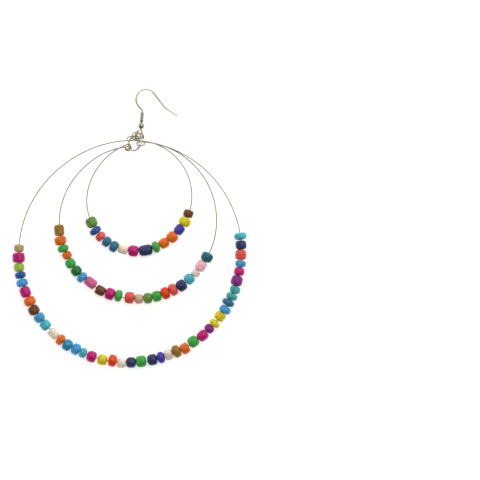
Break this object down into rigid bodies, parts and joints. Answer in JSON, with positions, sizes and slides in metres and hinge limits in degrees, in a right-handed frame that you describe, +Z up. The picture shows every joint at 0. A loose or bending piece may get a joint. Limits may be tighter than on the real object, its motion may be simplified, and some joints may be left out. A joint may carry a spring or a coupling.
{
  "type": "dangle earring",
  "caption": "Dangle earring lying flat: French hook with ball and coil, jump ring, and nested spring-wire hoops strung with coloured glazed glass beads.",
  "frame": {"origin": "middle of the bottom of the whole earring's box, on the surface that it lies on", "axes": "+Z up from the surface, +Y along the earring from the hoops' lowest beads to the ear hook, +X to the side that the hook's tail points to"},
  "size_m": [0.0936, 0.1118, 0.0054],
  "materials": {
    "hook_metal": "polished drawn wire",
    "ball_metal": "polished",
    "spring_wire": "drawn spring wire",
    "bead_glass": "soft gloss glaze, a mix of many colours"
  },
  "bodies": {
    "root": {"ear_hook": "hook_metal", "hook_ball": "ball_metal", "hook_coil": "hook_metal", "jump_ring": "hook_metal", "outer_hoop": "spring_wire", "middle_hoop": "spring_wire", "inner_hoop": "spring_wire", "outer_beads": "bead_glass", "middle_beads": "bead_glass", "inner_beads": "bead_glass"}
  },
  "joints": []
}
